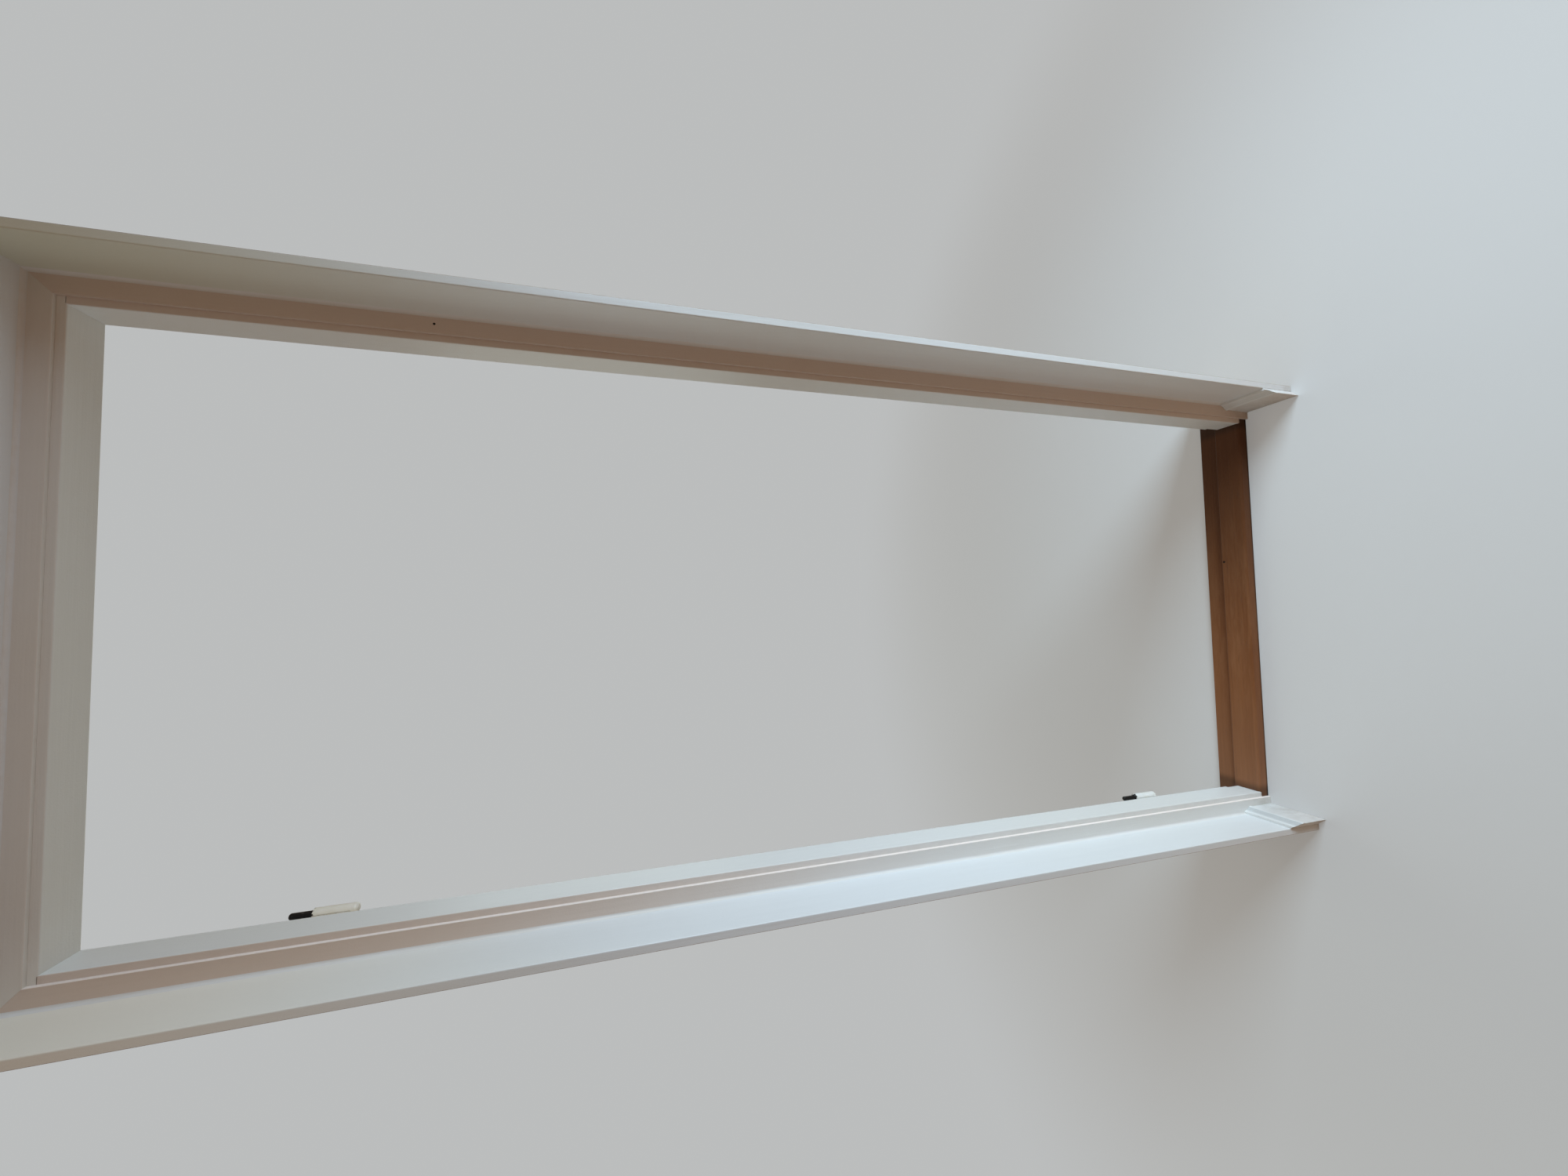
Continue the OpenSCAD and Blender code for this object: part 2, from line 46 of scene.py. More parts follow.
class Shade:
    """A value, colour or vector in a material. Arithmetic on values adds Math nodes to its tree."""

    def __init__(self, tree, socket=None):
        self.tree, self.socket = tree, socket

    def add(self, kind, settings=None, inputs=None, output=0):
        """Adds one node: its settings first, then the values or links of its sockets."""
        node = self.tree.nodes.new("ShaderNode" + kind)
        for name, value in (settings or {}).items():
            if name == "stops":
                while len(node.color_ramp.elements) < len(value):
                    node.color_ramp.elements.new(0.5)
                for element, (position, colour) in zip(node.color_ramp.elements, value):
                    element.position, element.color = position, (*colour, 1)
            else:
                setattr(node, name, value)
        for name, value in (inputs or {}).items():
            if isinstance(value, Shade):
                self.tree.links.new(value.socket, node.inputs[name])
            else:
                node.inputs[name].default_value = value
        return Shade(self.tree, node.outputs[output])

    def math(self, operation, *values):
        return self.add("Math", {"operation": operation}, dict(enumerate(values)))

    def __add__(self, other):
        return self.math("ADD", self, other)

    def __sub__(self, other):
        return self.math("SUBTRACT", self, other)

    def __rsub__(self, other):
        return self.math("SUBTRACT", other, self)

    def __mul__(self, other):
        return self.math("MULTIPLY", self, other)

    __radd__, __rmul__ = __add__, __mul__

    def size(self):
        return self.math("ABSOLUTE", self)

    def step(self, low, high):
        """0 at low and 1 at high, with a smooth change between them."""
        return self.add("MapRange", {"interpolation_type": "SMOOTHSTEP"},
                        {"Value": self, "From Min": low, "From Max": high})

    def mix(self, low, high):
        """A colour: low where this value is 0, high where it is 1."""
        pair = [c if isinstance(c, Shade) else (*c, 1) for c in (low, high)]
        return self.add("Mix", {"data_type": "RGBA", "clamp_factor": True},
                        {0: self, 6: pair[0], 7: pair[1]}, 2)

    def place(self):
        """The point of the surface, in metres, in the frame of the model."""
        return self.add("TexCoord", output="Object")

    def axis(self, name):
        return self.add("SeparateXYZ", inputs={0: self.place()}, output=name)

    def strike_side(self):
        """0 on the hinge side and 1 on the strike side."""
        return self.axis("X").step(-0.05, 0.05)

    def noise(self, waves, detail=2.0, rough=0.5, shift=0.0, twist=0.0):
        """Noise with so many waves a metre along each axis."""
        point = self.add("VectorMath", {"operation": "MULTIPLY_ADD"},
                         {0: self.place(), 1: waves, 2: (shift,) * 3})
        return self.add("TexNoise", inputs={"Vector": point, "Scale": 1.0, "Detail": detail,
                                            "Roughness": rough, "Distortion": twist})

    def edge(self, radius):
        """1 on sharp edges and 0 on flat faces, as far in as the radius."""
        soft = self.add("Bevel", {"samples": BEVEL_SAMPLES}, {"Radius": radius})
        hard = self.add("NewGeometry", output="Normal")
        along = self.add("VectorMath", {"operation": "DOT_PRODUCT"}, {0: soft, 1: hard}, "Value")
        return (1 - along).step(0.03, 0.25)

    def relief(self, height, distance, rounding=0.0):
        """The normal of a surface with this height in units of distance, over softened edges."""
        inputs = {"Height": height, "Distance": distance}
        if rounding:
            inputs["Normal"] = self.add("Bevel", {"samples": BEVEL_SAMPLES}, {"Radius": rounding})
        return self.add("Bump", inputs=inputs)

    def surface(self, **sockets):
        """The finish itself. Names use _ for the spaces of the socket's name."""
        inputs = {name.replace("_", " "): value for name, value in sockets.items()}
        bsdf = self.add("BsdfPrincipled", inputs=inputs)
        out = self.tree.nodes.new("ShaderNodeOutputMaterial")
        self.tree.links.new(bsdf.socket, out.inputs["Surface"])


def tinted(colour, *factors):
    """The colour with each channel times its own factor, and at most 1."""
    return tuple(min(1.0, channel * factor) for channel, factor in zip(colour, factors))


def scaled(colour, factor):
    """The colour with all its channels times the factor, and at most 1."""
    return tinted(colour, factor, factor, factor)


def finish(name):
    """A new material, and the Shade that builds its tree."""
    material = bpy.data.materials.new(name)
    material.use_nodes = True
    material.node_tree.nodes.clear()
    return material, Shade(material.node_tree)


# Brush marks a metre along each axis, for pieces that stand and for pieces that lie along X
VERTICAL, LEVEL = (240, 240, 5), (5, 240, 240)
ROLLED_VERTICAL, ROLLED_LEVEL = (130, 130, 9), (9, 130, 130)
MOULDING = (260, 8, 260)

PRIMER = (0.60, 0.57, 0.51)
BARE_PINE = (0.47, 0.33, 0.20)
GRIME_AND_SHADE = (0.33, 0.28, 0.22)
DUST_AND_SHADE = (0.40, 0.41, 0.41)
HOLE_SHADE = (0.010, 0.007, 0.005)
WARM_SHADE_TINT = (0.90, 0.73, 0.63)
EDGE_HIGHLIGHT_CREAM = (0.93, 0.83, 0.77)
EDGE_SHADE_BROWN = (0.65, 0.53, 0.45)
PINE_BACK = (0.47, 0.30, 0.165), (0.60, 0.42, 0.25)
FIBREBOARD_BACK = (0.36, 0.25, 0.16), (0.41, 0.295, 0.195)

# Heights in metres: the splashed foot with its dirt and painted shade, where chips grow fewer,
# and where the painted light and shade change
FOOT_DIRT_AND_SHADE = 0.0, 0.10
KICKED = 0.0, 0.45
HINGE_SIDE_SHADE = 0.45, 1.75
NEAR_CEILING = 1.35, 2.05


# What single faces of painted pieces have. Each function takes the tone and the roughness so far,
# and returns both.

def warm_shade_on_front(s, tone, dull, face_y, share):
    """The face at face_y is tinted with painted warm shade: all of the strike side, and the hinge
    side high up.
    """
    front = 1 - s.axis("Y").step(face_y + 0.3 * MM, face_y + 0.6 * MM)
    strike_side = s.strike_side()
    front_shade = strike_side * 0.85 + (1 - strike_side) * s.axis("Z").step(*HINGE_SIDE_SHADE)
    tone = s.add("Mix", {"data_type": "RGBA", "blend_type": "MULTIPLY"},
                 {0: front * front_shade * share, 6: tone, 7: (*WARM_SHADE_TINT, 1)}, 2)
    return tone, dull


def edge_highlight_and_shade(s, tone, dull, edge_x):
    """The narrow edge at edge_x has a painted highlight in cream, and painted shade in brown on the
    strike side.
    """
    edge_band = 1 - s.axis("X").size().step(edge_x + 0.6 * MM, edge_x + 1.0 * MM)
    return edge_band.mix(tone, s.strike_side().mix(EDGE_HIGHLIGHT_CREAM, EDGE_SHADE_BROWN)), dull


def dust_and_shade_in_hollow(s, tone, dull, low, rise):
    """Dust and painted shade in the hollow of a moulding, from the height low up to low + rise."""
    z, top = s.axis("Z"), low + rise
    hollow_dust_and_shade = z.step(low, low + 1.0 * MM) * (1 - z.step(top - 1.5 * MM, top))
    return (hollow_dust_and_shade * (1 - s.strike_side() * 0.6) * 0.45).mix(tone, DUST_AND_SHADE), dull


def open_nail_hole(s, tone, dull, x, z, radius):
    """Painted shade in a hole along Y, and the dirt on its rim."""
    across, up = s.axis("X") - x, s.axis("Z") - z
    inside = 1 - (across * across + up * up).step(radius ** 2, (1.2 * radius) ** 2)
    return inside.mix(tone, HOLE_SHADE), dull


def bare_back(s, tone, dull, axis, plane, brush, dark, pale):
    """The face at this plane lies in the wall and was never painted."""
    bare = s.axis(axis).size().step(plane - 0.5 * MM, plane - 0.2 * MM)
    fibres = s.noise(tuple(b * 0.3 for b in brush), detail=4, rough=0.6, shift=23, twist=0.6)
    return bare.mix(tone, fibres.step(0.35, 0.68).mix(dark, pale)), dull + bare * 0.35


def white_paint(name, colour, brush, roughness, *features, bumps=1.0, wear=0.5,
                softness=1.2 * MM, ceiling_light_and_shade=None):
    """Brushed white paint on timber. Each feature is a function from above and its sizes. softness
    is how far the paint rounds the edges. Near the ceiling the paint takes on the colours given for
    the hinge side and the strike side: painted warm light and painted shade."""
    material, s = finish(name)
    marks = s.noise(brush, detail=3, rough=0.6)
    peel = s.noise((420, 420, 420), detail=1, shift=3)
    drift = s.noise((2.2, 2.2, 1.3), detail=2, shift=7)
    tone = drift.step(0.32, 0.70).mix(tinted(colour, 1.0, 1.01, 1.02),
                                      tinted(colour, 0.975, 0.965, 0.94))
    tone = (marks.step(0.35, 0.75) * 0.08).mix(tone, scaled(colour, 0.82))
    z = s.axis("Z")
    if ceiling_light_and_shade:
        # Near the ceiling: painted warm light on the hinge side, painted shade on the strike side
        tone = z.step(*NEAR_CEILING).mix(tone, s.strike_side().mix(*ceiling_light_and_shade))

    # Dirt and painted shade by the floor, a painted highlight on the edges, and a few edges knocked
    # down to the primer and the wood
    splashes = s.noise((35, 35, 22), detail=4, rough=0.65, shift=11).step(0.35, 0.75)
    dirt_and_shade = (1 - z.step(*FOOT_DIRT_AND_SHADE)) * splashes * 0.40
    tone = dirt_and_shade.mix(tone, GRIME_AND_SHADE)
    rim = s.edge(2.5 * MM)
    # Lighter edges: a painted highlight
    tone = (rim * 0.35).mix(tone, scaled(colour, 1.12))
    spots = s.noise((46, 46, 20), detail=5, rough=0.7, shift=19)
    reach = 0.775 - 0.05 * wear + 0.16 * z.step(*KICKED)
    chip = rim * (spots - reach).step(0.0, 0.02)
    tone = chip.mix(tone, PRIMER)
    tone = (chip * (spots - reach).step(0.03, 0.05)).mix(tone, BARE_PINE)

    dull = drift * 0.12 + marks * 0.10 + (roughness - 0.11) + dirt_and_shade * 0.4
    for feature, *sizes in features:
        tone, dull = feature(s, tone, dull, *sizes)

    height = marks * 0.75 + peel * 0.30 - chip * 1.2
    s.surface(Base_Color=tone, Roughness=dull,
              Normal=s.relief(height, 0.45 * MM * bumps, rounding=softness), IOR=1.47)
    return material


# The threshold's grain from dark to pale, what wear and dirt have made of it, and its painted light
# and shade
GRAIN_BROWNS = [(0.30, (0.197, 0.072, 0.026)), (0.45, (0.230, 0.087, 0.033)),
                (0.55, (0.253, 0.098, 0.037)), (0.72, (0.282, 0.114, 0.045))]
PORES = (0.050, 0.020, 0.010)
WORN_WOOD = (0.312, 0.140, 0.062)
RUBBED_EDGE = (0.38, 0.24, 0.15)
LIT_SIDE_VARNISH = (0.36, 0.185, 0.105)
SHADED_SIDE_VARNISH = (0.045, 0.016, 0.007)
CAKED_DIRT_AND_SHADE = (0.020, 0.010, 0.006)
KNOT_BROWN = (0.012, 0.007, 0.005)

# The line of the threshold's step, and a small knot on its upper face
STEP_Y = 47.2 * MM
KNOT_PLACE = (98.5 * MM, 42 * MM, 24 * MM)


def varnished_wood(name):
    """The brown threshold: grain along X, varnish worn pale and dull where feet fall. Painted light
    makes it paler towards the hinge side, and painted shade darker towards the strike side, at the
    step and the floor."""
    material, s = finish(name)
    x, y, z = s.axis("X"), s.axis("Y"), s.axis("Z")
    figure = s.noise((1.1, 62, 62), detail=3, rough=0.55, twist=0.4)
    fibre = s.noise((7, 360, 360), detail=4, rough=0.6, shift=5)
    grain = figure * 0.5 + fibre * 0.5
    tone = s.add("ValToRGB", {"stops": GRAIN_BROWNS}, {"Fac": grain})
    pores = s.noise((32, 900, 900), detail=2, rough=0.5, shift=9).step(0.66, 0.74)
    tone = (pores * 0.35).mix(tone, PORES)

    # Feet have worn the middle. Painted light and shade change the varnish from side to side; dirt
    # and painted shade lie by the jambs, and painted shade at the step and the floor
    middle = 1 - x.size().step(0.10, 0.36)
    scuff = s.noise((11, 60, 60), detail=5, rough=0.7, shift=14)
    worn = middle * scuff.step(0.40, 0.68) * 0.55
    tone = worn.mix(tone, WORN_WOOD)
    tone = ((0 - x).step(0.15, 0.40) * 0.35).mix(tone, LIT_SIDE_VARNISH)
    tone = (x.step(-0.22, 0.37) * 0.72).mix(tone, SHADED_SIDE_VARNISH)
    jamb_end_dirt_and_shade = x.size().step(0.385, 0.404)
    step_shade = 1 - (y - STEP_Y).size().step(0.8 * MM, 3.0 * MM)
    floor_shade = 1 - z.step(1.5 * MM, 5.5 * MM)
    dirt_and_shade = jamb_end_dirt_and_shade * 0.55 + step_shade * z.step(11.5 * MM, 22.5 * MM) * 0.20 + floor_shade * 0.65
    tone = dirt_and_shade.mix(tone, CAKED_DIRT_AND_SHADE)
    away = s.add("VectorMath", {"operation": "DISTANCE"}, {0: s.place(), 1: KNOT_PLACE}, "Value")
    knot = 1 - (away + (scuff - 0.5) * (4.0 * MM)).step(1.6 * MM, 2.8 * MM)
    knot = knot * z.step(20 * MM, 23 * MM)
    tone = knot.mix(tone, KNOT_BROWN)
    rim = s.edge(2.0 * MM) * scuff.step(0.42, 0.60) * middle
    tone = (rim * 0.5).mix(tone, RUBBED_EDGE)

    height = fibre * 0.6 + scuff * 0.4 - pores * 0.5 - knot
    s.surface(Base_Color=tone, Roughness=worn * 0.35 + scuff * 0.18 + dirt_and_shade * 0.2 + 0.22,
              Normal=s.relief(height, 0.35 * MM, rounding=1.0 * MM), Coat_Weight=(1 - worn) * 0.22,
              Coat_Roughness=0.22, IOR=1.5, Specular_IOR_Level=0.15)
    return material


CHIPPED_STEEL = (0.060, 0.052, 0.045)
WORN_COAT = (0.30, 0.27, 0.22)
GREASE = (0.006, 0.005, 0.005)
WIPED_STEEL = (0.105, 0.090, 0.080)
ZINC_TINTS = [(0.30, (0.46, 0.34, 0.13)), (0.45, (0.62, 0.52, 0.24)),
              (0.58, (0.52, 0.55, 0.30)), (0.72, (0.60, 0.40, 0.30))]


def painted_hinge(name, colour, rims):
    """Thick paint over a hinge half, chipped to dark steel where the leaf has turned. rims are the
    heights of the knuckles' upper ends."""
    material, s = finish(name)
    z = s.axis("Z")
    runs = s.noise((90, 90, 40), detail=3, rough=0.6)
    lumps = s.noise((420, 420, 300), detail=2, shift=4)
    tone = runs.step(0.35, 0.75).mix(colour, tinted(colour, 0.93, 0.91, 0.85))
    flake = s.noise((260, 260, 260), detail=4, rough=0.65, shift=8)
    near = sum(1 - (z - rim).size().step(0.4 * MM, 4.0 * MM) for rim in rims)
    chip = (flake + near * 0.20 - 0.66).step(0.0, 0.015) * near.step(0.02, 0.10)
    tone = chip.mix(tone, CHIPPED_STEEL)
    rim = s.edge(1.2 * MM) * flake.step(0.56, 0.60) * 0.5
    tone = rim.mix(tone, WORN_COAT)

    height = runs * 0.7 + lumps * 0.4 - chip * 1.2
    s.surface(Base_Color=tone, Roughness=runs * 0.20 + 0.24 + chip * 0.2, Metallic=chip * 0.8,
              Normal=s.relief(height, 0.4 * MM, rounding=0.6 * MM), IOR=1.47)
    return material


def greasy_steel(name):
    """Black grease over a turned pin, thin enough on the turned parts to show the steel."""
    material, s = finish(name)
    film = s.noise((160, 160, 70), detail=4, rough=0.6)
    rings = s.noise((30, 30, 2600), detail=1, shift=6)
    bare = film.step(0.56, 0.68)
    tone = bare.mix(GREASE, WIPED_STEEL)
    s.surface(Base_Color=tone, Metallic=bare * 0.75,
              Roughness=film * 0.35 + rings * 0.08 + 0.10,
              Normal=s.relief(film * 1.4 - rings * 0.15, 0.35 * MM),
              Coat_Weight=(1 - bare) * 0.20, Coat_Roughness=0.12, Specular_IOR_Level=0.25)
    return material


def plated_steel(name, colour, scratches, dull):
    """Dull plated steel, drawn along one axis, with stains, fine rub marks and a painted highlight
    on its edges.
    """
    material, s = finish(name)
    drawn = s.noise(scratches, detail=3, rough=0.7)
    stain = s.noise((38, 38, 26), detail=4, rough=0.6, shift=5)
    rub = s.noise((300, 300, 45), detail=3, rough=0.6, shift=9).step(0.58, 0.66)
    tone = stain.step(0.35, 0.70).mix(colour, tinted(colour, 0.72, 0.66, 0.56))
    tone = (rub * 0.5).mix(tone, scaled(colour, 1.35))
    # A painted highlight on the edges
    tone = (s.edge(0.8 * MM) * 0.6).mix(tone, scaled(colour, 1.45))
    s.surface(Base_Color=tone, Metallic=0.95,
              Roughness=drawn * 0.16 + stain * 0.14 + (dull - 0.10),
              Normal=s.relief(drawn * 0.7 + rub * 0.3, 0.12 * MM, rounding=0.4 * MM))
    return material


def passivated_zinc(name):
    """Yellow passivated screws, with the pink and green of the thin film."""
    material, s = finish(name)
    film = s.noise((210, 210, 160), detail=3, rough=0.6)
    tone = s.add("ValToRGB", {"stops": ZINC_TINTS}, {"Fac": film})
    s.surface(Base_Color=tone, Metallic=0.95, Roughness=film * 0.20 + 0.22,
              Normal=s.relief(film, 0.1 * MM, rounding=0.3 * MM))
    return material


def filler(name, colour):
    """Painted filler in the reveal's inner corners, a little yellower and duller than the paint."""
    material, s = finish(name)
    smears = s.noise((60, 60, 12), detail=4, rough=0.6)
    tone = smears.step(0.3, 0.75).mix(colour, tinted(colour, 0.97, 0.95, 0.92))
    s.surface(Base_Color=tone, Roughness=smears * 0.2 + 0.40,
              Normal=s.relief(smears, 0.6 * MM), IOR=1.45)
    return material


# Planes of the faces that lie in the wall, of the front faces, and of the strips' inner edges
jamb_back, head_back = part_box("strike_jamb")[1].x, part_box("frame_head")[1].z
board_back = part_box("reveal_board_strike_side")[1].x
board_head_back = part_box("reveal_board_head")[1].z
jamb_face, strip_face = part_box("strike_jamb")[0].y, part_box("cover_strip_strike_side")[0].y
strip_edge_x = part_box("cover_strip_strike_side")[0].x

# Heights of the knuckles' upper ends, where the leaf's halves turned
RIMS = [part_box(name)[1].z for name in ("lower_hinge_leaf", "upper_hinge_leaf")]
# X, Z and radius of the hole that a nail has left in the strike side's cover strip, with its
# painted shade and its dirt
NAIL_HOLE = 428.75 * MM, 1597.5 * MM, 1.6 * MM
# Height of the skirting's bead, and of the hollow above it
SKIRTING_HOLLOW = 65.5 * MM, 9.0 * MM

FRAME_WHITE, HEAD_WHITE = (0.80, 0.79, 0.77), (0.80, 0.78, 0.735)
STRIP_WHITE, HEAD_STRIP_WHITE = (0.785, 0.77, 0.745), (0.785, 0.755, 0.705)
BOARD_WHITE, SKIRTING_WHITE = (0.80, 0.81, 0.815), (0.79, 0.79, 0.78)
ARCHITRAVE_WHITE = (0.69, 0.68, 0.655)
# Painted warm light near the ceiling on the hinge side's boards, painted shade on the strike side's
BOARDS_CEILING_LIGHT_AND_SHADE = (0.92, 0.875, 0.775), (0.69, 0.68, 0.56)

frame_paint = white_paint("frame_paint", FRAME_WHITE, VERTICAL, 0.34,
                          (warm_shade_on_front, jamb_face, 0.85), (open_nail_hole, *NAIL_HOLE),
                          (bare_back, "X", jamb_back, VERTICAL, *PINE_BACK))
frame_paint_level = white_paint("frame_paint_level", HEAD_WHITE, LEVEL, 0.34,
                                (warm_shade_on_front, jamb_face, 0.25),
                                (bare_back, "Z", head_back, LEVEL, *PINE_BACK))
strip_paint = white_paint("strip_paint", STRIP_WHITE, VERTICAL, 0.40,
                          (warm_shade_on_front, strip_face, 1.0), (edge_highlight_and_shade, strip_edge_x),
                          (open_nail_hole, *NAIL_HOLE))
strip_paint_level = white_paint("strip_paint_level", HEAD_STRIP_WHITE, LEVEL, 0.40,
                                (warm_shade_on_front, strip_face, 0.35))
board_paint = white_paint("board_paint", BOARD_WHITE, ROLLED_VERTICAL, 0.38,
                          (bare_back, "X", board_back, ROLLED_VERTICAL, *FIBREBOARD_BACK),
                          bumps=0.7, ceiling_light_and_shade=BOARDS_CEILING_LIGHT_AND_SHADE)
board_paint_level = white_paint("board_paint_level", BOARD_WHITE, ROLLED_LEVEL, 0.38,
                                (bare_back, "Z", board_head_back, ROLLED_LEVEL, *FIBREBOARD_BACK),
                                bumps=0.7)
skirting_paint = white_paint("skirting_paint", SKIRTING_WHITE, MOULDING, 0.30,
                             (dust_and_shade_in_hollow, *SKIRTING_HOLLOW), wear=1.0, softness=0.8 * MM)
architrave_paint = white_paint("architrave_paint", ARCHITRAVE_WHITE, VERTICAL, 0.36)
architrave_paint_level = white_paint("architrave_paint_level", ARCHITRAVE_WHITE, LEVEL, 0.36)
threshold_wood = varnished_wood("threshold_wood")
hinge_paint = painted_hinge("hinge_paint", (0.90, 0.83, 0.73), RIMS)
lower_hinge_paint = painted_hinge("lower_hinge_paint", (0.85, 0.835, 0.80), RIMS)
pin_steel = greasy_steel("greasy_steel")
plate_steel = plated_steel("plate_steel", (0.50, 0.49, 0.46), (1500, 1500, 28), 0.34)
screw_zinc = passivated_zinc("zinc_steel")
nail_steel = plated_steel("nail_steel", (0.34, 0.33, 0.32), (700, 700, 700), 0.42)
corner_filler = filler("corner_filler", (0.785, 0.765, 0.745))

FINISHES = {
    "hinge_jamb": frame_paint, "strike_jamb": frame_paint, "frame_head": frame_paint_level,
    "threshold": threshold_wood,
    "cover_strip_hinge_side": strip_paint, "cover_strip_strike_side": strip_paint,
    "cover_strip_head": strip_paint_level,
    "reveal_board_hinge_side": board_paint, "reveal_board_strike_side": board_paint,
    "reveal_board_head": board_paint_level,
    "skirting_return_hinge_side": skirting_paint, "skirting_return_strike_side": skirting_paint,
    "architrave_hinge_side": architrave_paint, "architrave_strike_side": architrave_paint,
    "architrave_head": architrave_paint_level,
    "upper_hinge_leaf": hinge_paint, "hinge_screws": hinge_paint,
    "lower_hinge_leaf": lower_hinge_paint,
    "upper_hinge_pin": pin_steel, "lower_hinge_pin": pin_steel,
    "strike_plate": plate_steel, "strike_plate_screws": plate_steel,
    "head_joint_screws": screw_zinc, "threshold_screws": screw_zinc,
    "cover_strip_nails": nail_steel, "architrave_nails": nail_steel,
    "reveal_corner_nails": nail_steel, "skirting_nails": nail_steel,
}
for name, material in FINISHES.items():
    mesh = nodes[name].data
    mesh.materials.clear()
    mesh.materials.append(material)


def piece_from(mesh, name, material):
    """A new object with the shape of the bmesh, which is then freed."""
    bmesh.ops.recalc_face_normals(mesh, faces=mesh.faces)
    data = bpy.data.meshes.new(name)
    mesh.to_mesh(data)
    mesh.free()
    piece = bpy.data.objects.new(name, data)
    bpy.context.scene.collection.objects.link(piece)
    data.materials.append(material)
    return piece


# The planes that the filler bead runs along, read from the nodes
board_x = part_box("cover_strip_strike_side")[1].x
board_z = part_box("reveal_board_head")[0].z
skirting_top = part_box("skirting_return_strike_side")[1].z


def bead_section(radius, steps=5):
    """A hollow-faced bead in a corner at the origin, between +a and +b."""
    points = [(0.0, 0.0), (radius, 0.0)]
    for i in range(1, steps):
        turn = math.pi / 2 * i / steps
        points.append((radius * (1 - math.sin(turn)), radius * (1 - math.cos(turn))))
    return points + [(0.0, radius)]


def filler_bead(name, x, z_low, z_top, y, radius):
    """Runs up one inner corner, across the head and down the other side, with mitred turns."""
    section = bead_section(radius)
    mesh = bmesh.new()
    rings = []
    for side, z, turns in ((-1, z_low, 0), (-1, z_top, 1), (1, z_top, 1), (1, z_low, 0)):
        rings.append([mesh.verts.new((side * (x - a), y - b, z - a * turns)) for a, b in section])
    for first, second in zip(rings, rings[1:]):
        for i in range(len(section)):
            j = (i + 1) % len(section)
            mesh.faces.new((first[i], first[j], second[j], second[i]))
    mesh.faces.new(rings[0][::-1])
    mesh.faces.new(rings[-1])
    bead = piece_from(mesh, name, corner_filler)
    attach(bead, "root")


filler_bead("filler_at_boards", board_x, skirting_top, board_z, strip_face, 4.0 * MM)

COLLAR_SIDES, COLLAR_ROWS = 40, 7
COLLAR_INNER, COLLAR_LIFT = 4.45 * MM, 0.05 * MM


def grease_collar(name, pin, knuckle):
    """A lumpy ring of old grease, pressed out where the leaf's half sat on the knuckle."""
    low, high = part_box(pin)
    x, y = (low.x + high.x) / 2, (low.y + high.y) / 2
    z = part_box(knuckle)[1].z
    mesh = bmesh.new()
    grid = []
    for i in range(COLLAR_SIDES):
        angle = 2 * math.pi * i / COLLAR_SIDES
        lump = 0.45 * math.sin(3 * angle + z * 9) + 0.30 * math.sin(5 * angle + 1 + z * 4)
        reach, rise = (1.25 + 0.45 * lump) * MM, (2.1 + 1.1 * lump) * MM
        column = []
        for j in range(COLLAR_ROWS):
            tilt = math.pi / 2 * j / (COLLAR_ROWS - 1)
            radius = COLLAR_INNER + reach * math.cos(tilt)
            point = (x + radius * math.cos(angle), y + radius * math.sin(angle),
                     z + COLLAR_LIFT + rise * math.sin(tilt) ** 1.4)
            column.append(mesh.verts.new(point))
        grid.append(column)
    for i in range(COLLAR_SIDES):
        a, b = grid[i], grid[(i + 1) % COLLAR_SIDES]
        for j in range(COLLAR_ROWS - 1):
            mesh.faces.new((a[j], b[j], b[j + 1], a[j + 1])).smooth = True
        mesh.faces.new((b[0], a[0], a[-1], b[-1]))
    ring = piece_from(mesh, name, pin_steel)
    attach(ring, "root")


grease_collar("grease_at_upper_pin", "upper_hinge_pin", "upper_hinge_leaf")
grease_collar("grease_at_lower_pin", "lower_hinge_pin", "lower_hinge_leaf")


# Stage: a pale floor that fades into the backdrop's colour. What it throws back on the object is
# warm in front, as from a wooden floor, and pale behind.
BACKDROP = (0.50, 0.51, 0.51)
FLOOR = (0.80, 0.80, 0.795)
FLOOR_RADIUS, FLOOR_DROP = 30.0, 0.4 * MM
FLOOR_FADE = 0.5, 2.2
FADED_NEAR, FADED_FAR = 0.30, 1.0
WOODEN_GLOW = (0.52, 0.34, 0.23)
PALE_GLOW = (0.72, 0.77, 0.80)


def stage_floor():
    """The floor, whose colour depends on whether the camera or the light meets it."""
    bpy.ops.mesh.primitive_circle_add(vertices=96, radius=FLOOR_RADIUS, fill_type="NGON",
                                      location=(0, 0, -FLOOR_DROP))
    floor = bpy.context.object
    floor.name = "floor"
    material = bpy.data.materials.new("pale_floor")
    material.use_nodes = True
    tree = material.node_tree
    tree.nodes.clear()
    s = Shade(tree)
    away = s.add("VectorMath", {"operation": "LENGTH"}, {0: s.place()}, "Value").step(*FLOOR_FADE)
    seen = s.add("LightPath", output="Is Camera Ray")
    glow = s.axis("Y").step(-0.10, 0.12).mix(WOODEN_GLOW, PALE_GLOW)
    near = s.add("BsdfDiffuse", inputs={"Color": seen.mix(glow, FLOOR)})
    far = s.add("Emission", inputs={"Color": (*BACKDROP, 1)})
    # Painted light: to the camera the floor glows in the backdrop's colour, 0.3 of it near the
    # object and all of it far off
    faded = away * (FADED_FAR - FADED_NEAR) + FADED_NEAR
    both = s.add("MixShader", inputs={0: faded * seen, 1: near, 2: far})
    out = tree.nodes.new("ShaderNodeOutputMaterial")
    tree.links.new(both.socket, out.inputs["Surface"])
    floor.data.materials.append(material)


stage_floor()


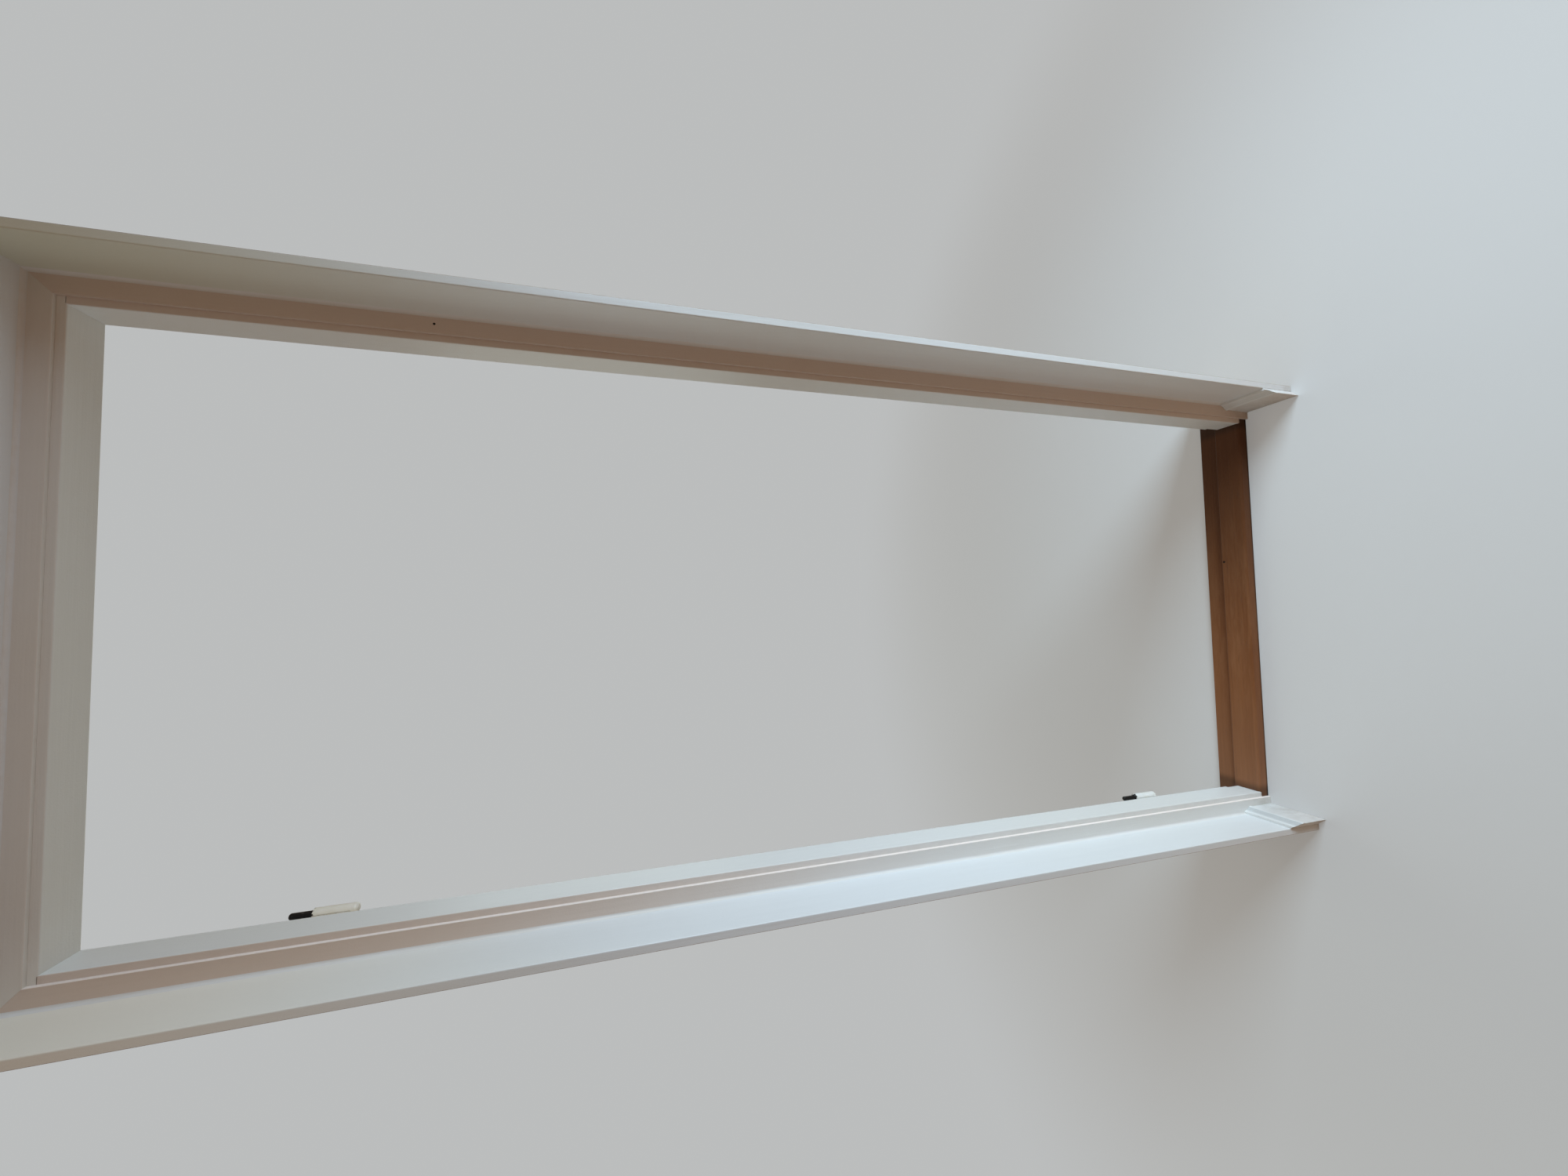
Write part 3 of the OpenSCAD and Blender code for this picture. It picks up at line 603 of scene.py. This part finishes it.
def set_world(colour, strength):
    """Soft light from all round, behind which the camera sees the backdrop's colour."""
    world = bpy.data.worlds.new("room_light")
    bpy.context.scene.world = world
    world.use_nodes = True
    tree = world.node_tree
    tree.nodes.clear()
    s = Shade(tree)
    light = s.add("Background", inputs={"Color": (*colour, 1), "Strength": strength})
    shown = s.add("Background", inputs={"Color": (*BACKDROP, 1), "Strength": 1.0})
    seen = s.add("LightPath", output="Is Camera Ray")
    both = s.add("MixShader", inputs={0: seen, 1: light, 2: shown})
    out = tree.nodes.new("ShaderNodeOutputWorld")
    tree.links.new(both.socket, out.inputs["Surface"])


set_world(colour=(1.0, 0.76, 0.57), strength=0.24)


def soft_lamp(name, place, target, width, height, power, colour, spread=180):
    """A rectangular lamp. Its sizes are in metres, its power in watts and its spread in degrees."""
    light = bpy.data.lights.new(name, "AREA")
    light.shape, light.size, light.size_y = "RECTANGLE", width, height
    light.energy, light.color, light.spread = power, colour, math.radians(spread)
    lamp = bpy.data.objects.new(name, light)
    bpy.context.scene.collection.objects.link(lamp)
    lamp.location = place
    lamp.rotation_euler = (Vector(target) - Vector(place)).to_track_quat("-Z", "Y").to_euler()
    lamp.visible_camera = False


soft_lamp("window_light", place=(2.25, -1.15, 1.1), target=(-0.43, 0.0, 0.28),
          width=1.3, height=1.0, power=22, colour=(0.66, 0.855, 1.0), spread=88)
soft_lamp("left_bounce", place=(-2.4, -0.5, 1.2), target=(0.43, 0.0, 0.6),
          width=1.8, height=1.2, power=8, colour=(0.80, 0.95, 1.0))
soft_lamp("far_room_light", place=(-0.4, 2.3, 1.5), target=(0.0, 0.0, 0.8),
          width=3.4, height=1.6, power=12, colour=(0.85, 1.0, 0.95))


def photo_camera():
    """Very wide lens, held on its side: the picture's right is the world's down. Its place and its
    angles, in radians, make the frame's edges meet those of the photo."""
    place = Vector((4.353, -852.962, 1314.726)) * MM
    yaw, pitch, roll = 0.047175, 0.266919, 0.007547
    ahead = Vector((math.sin(yaw) * math.cos(pitch), math.cos(yaw) * math.cos(pitch),
                    -math.sin(pitch)))
    right = Vector((math.cos(yaw), -math.sin(yaw), 0))
    down = ahead.cross(right)
    up_in_picture = right * math.cos(roll) + down * math.sin(roll)
    right_in_picture = down * math.cos(roll) - right * math.sin(roll)

    # The focal length and the picture's width are in pixels of the photo, the sensor in millimetres
    focal, picture_width, sensor = 672.586, 2000, 36.0
    data = bpy.data.cameras.new("camera")
    data.sensor_width, data.lens = sensor, focal * sensor / picture_width
    data.clip_start = 0.02
    camera = bpy.data.objects.new("camera", data)
    bpy.context.scene.collection.objects.link(camera)
    turn = Matrix((right_in_picture, up_in_picture, -ahead)).transposed()
    camera.matrix_world = Matrix.Translation(place) @ turn.to_4x4()
    bpy.context.scene.camera = camera


photo_camera()
bpy.context.scene.view_settings.view_transform = "Standard"
